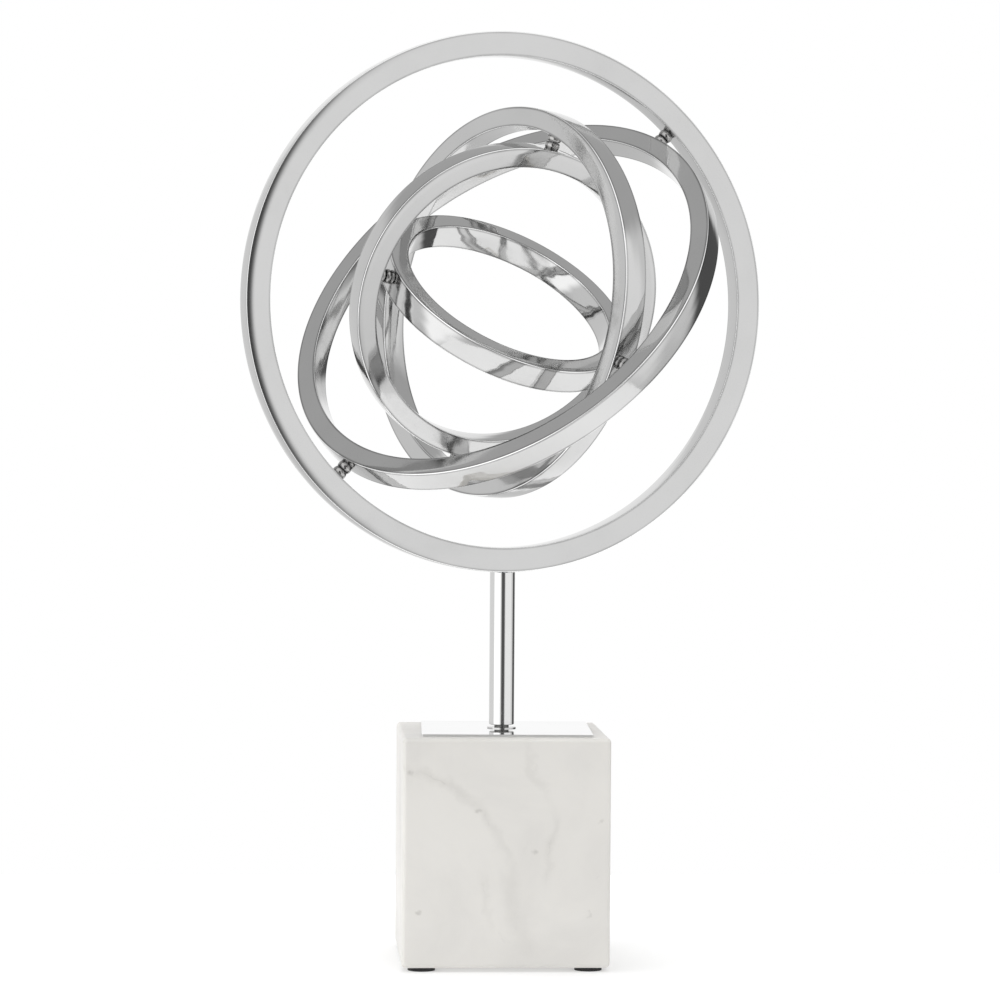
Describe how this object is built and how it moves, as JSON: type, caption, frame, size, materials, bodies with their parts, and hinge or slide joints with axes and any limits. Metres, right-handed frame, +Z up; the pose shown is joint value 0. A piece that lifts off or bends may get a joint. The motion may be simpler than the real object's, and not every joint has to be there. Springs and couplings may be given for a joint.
{
  "type": "armillary sphere",
  "caption": "Decorative armillary sphere: nested polished rings that turn inside one another on diametral pivots, on a round post and a square marble block.",
  "frame": {"origin": "middle of the four foot pads' undersides, on the surface it stands on", "axes": "+Z up; the block's faces lie along X and Y, front face towards -Y; the outer ring is turned 15 degrees about Z from the front"},
  "size_m": [0.264, 0.1914, 0.4638],
  "materials": {
    "marble": "honed and lightly polished white marble with faint grey veins",
    "rubber_pad": "moulded self-adhesive pad",
    "mirror_plate": "mirror polished sheet",
    "polished_post": "polished bar",
    "polished_ring": "hand polished to a mirror",
    "turned_collar": "turned and polished",
    "pivot_pin": "ground",
    "zinc_fastener": "zinc plated"
  },
  "bodies": {
    "stand": {"foot_pad_front_left": "rubber_pad", "foot_pad_front_right": "rubber_pad", "foot_pad_back_left": "rubber_pad", "foot_pad_back_right": "rubber_pad", "marble_base": "marble", "top_plate": "mirror_plate", "base_washer": "turned_collar", "post": "polished_post", "tie_rod": "zinc_fastener", "large_washer": "zinc_fastener", "spring_washer": "zinc_fastener", "tie_rod_nut": "zinc_fastener", "ring_stud": "zinc_fastener", "outer_ring": "polished_ring", "pivot_1_pin_a": "pivot_pin", "pivot_1_spacer_a": "turned_collar", "pivot_1_pin_b": "pivot_pin", "pivot_1_spacer_b": "turned_collar"},
    "second_ring": {"second_ring": "polished_ring", "pivot_1_bush_a": "turned_collar", "pivot_1_bush_b": "turned_collar", "pivot_2_pin_a": "pivot_pin", "pivot_2_spacer_a": "turned_collar", "pivot_2_pin_b": "pivot_pin", "pivot_2_spacer_b": "turned_collar"},
    "third_ring": {"third_ring": "polished_ring", "pivot_2_bush_a": "turned_collar", "pivot_2_bush_b": "turned_collar", "pivot_3_pin_a": "pivot_pin", "pivot_3_spacer_a": "turned_collar", "pivot_3_pin_b": "pivot_pin", "pivot_3_spacer_b": "turned_collar"},
    "fourth_ring": {"fourth_ring": "polished_ring", "pivot_3_bush_a": "turned_collar", "pivot_3_bush_b": "turned_collar", "pivot_4_pin_a": "pivot_pin", "pivot_4_spacer_a": "turned_collar", "pivot_4_pin_b": "pivot_pin", "pivot_4_spacer_b": "turned_collar"},
    "inner_ring": {"inner_ring": "polished_ring", "pivot_4_bush_a": "turned_collar", "pivot_4_bush_b": "turned_collar"}
  },
  "joints": [
    {"name": "pivot_1", "type": "hinge", "parent": "stand", "child": "second_ring", "pos_m": [0, 0, 0.3288], "axis": [0.683, 0.183, 0.7071], "continuous": true},
    {"name": "pivot_2", "type": "hinge", "parent": "second_ring", "child": "third_ring", "pos_m": [0, 0, 0.3288], "axis": [-0.5407, 0.7776, 0.321], "continuous": true},
    {"name": "pivot_3", "type": "hinge", "parent": "third_ring", "child": "fourth_ring", "pos_m": [0, 0, 0.3288], "axis": [-0.2709, 0.2003, -0.9415], "continuous": true},
    {"name": "pivot_4", "type": "hinge", "parent": "fourth_ring", "child": "inner_ring", "pos_m": [0, 0, 0.3288], "axis": [0.9036, 0.3902, -0.1769], "continuous": true}
  ]
}
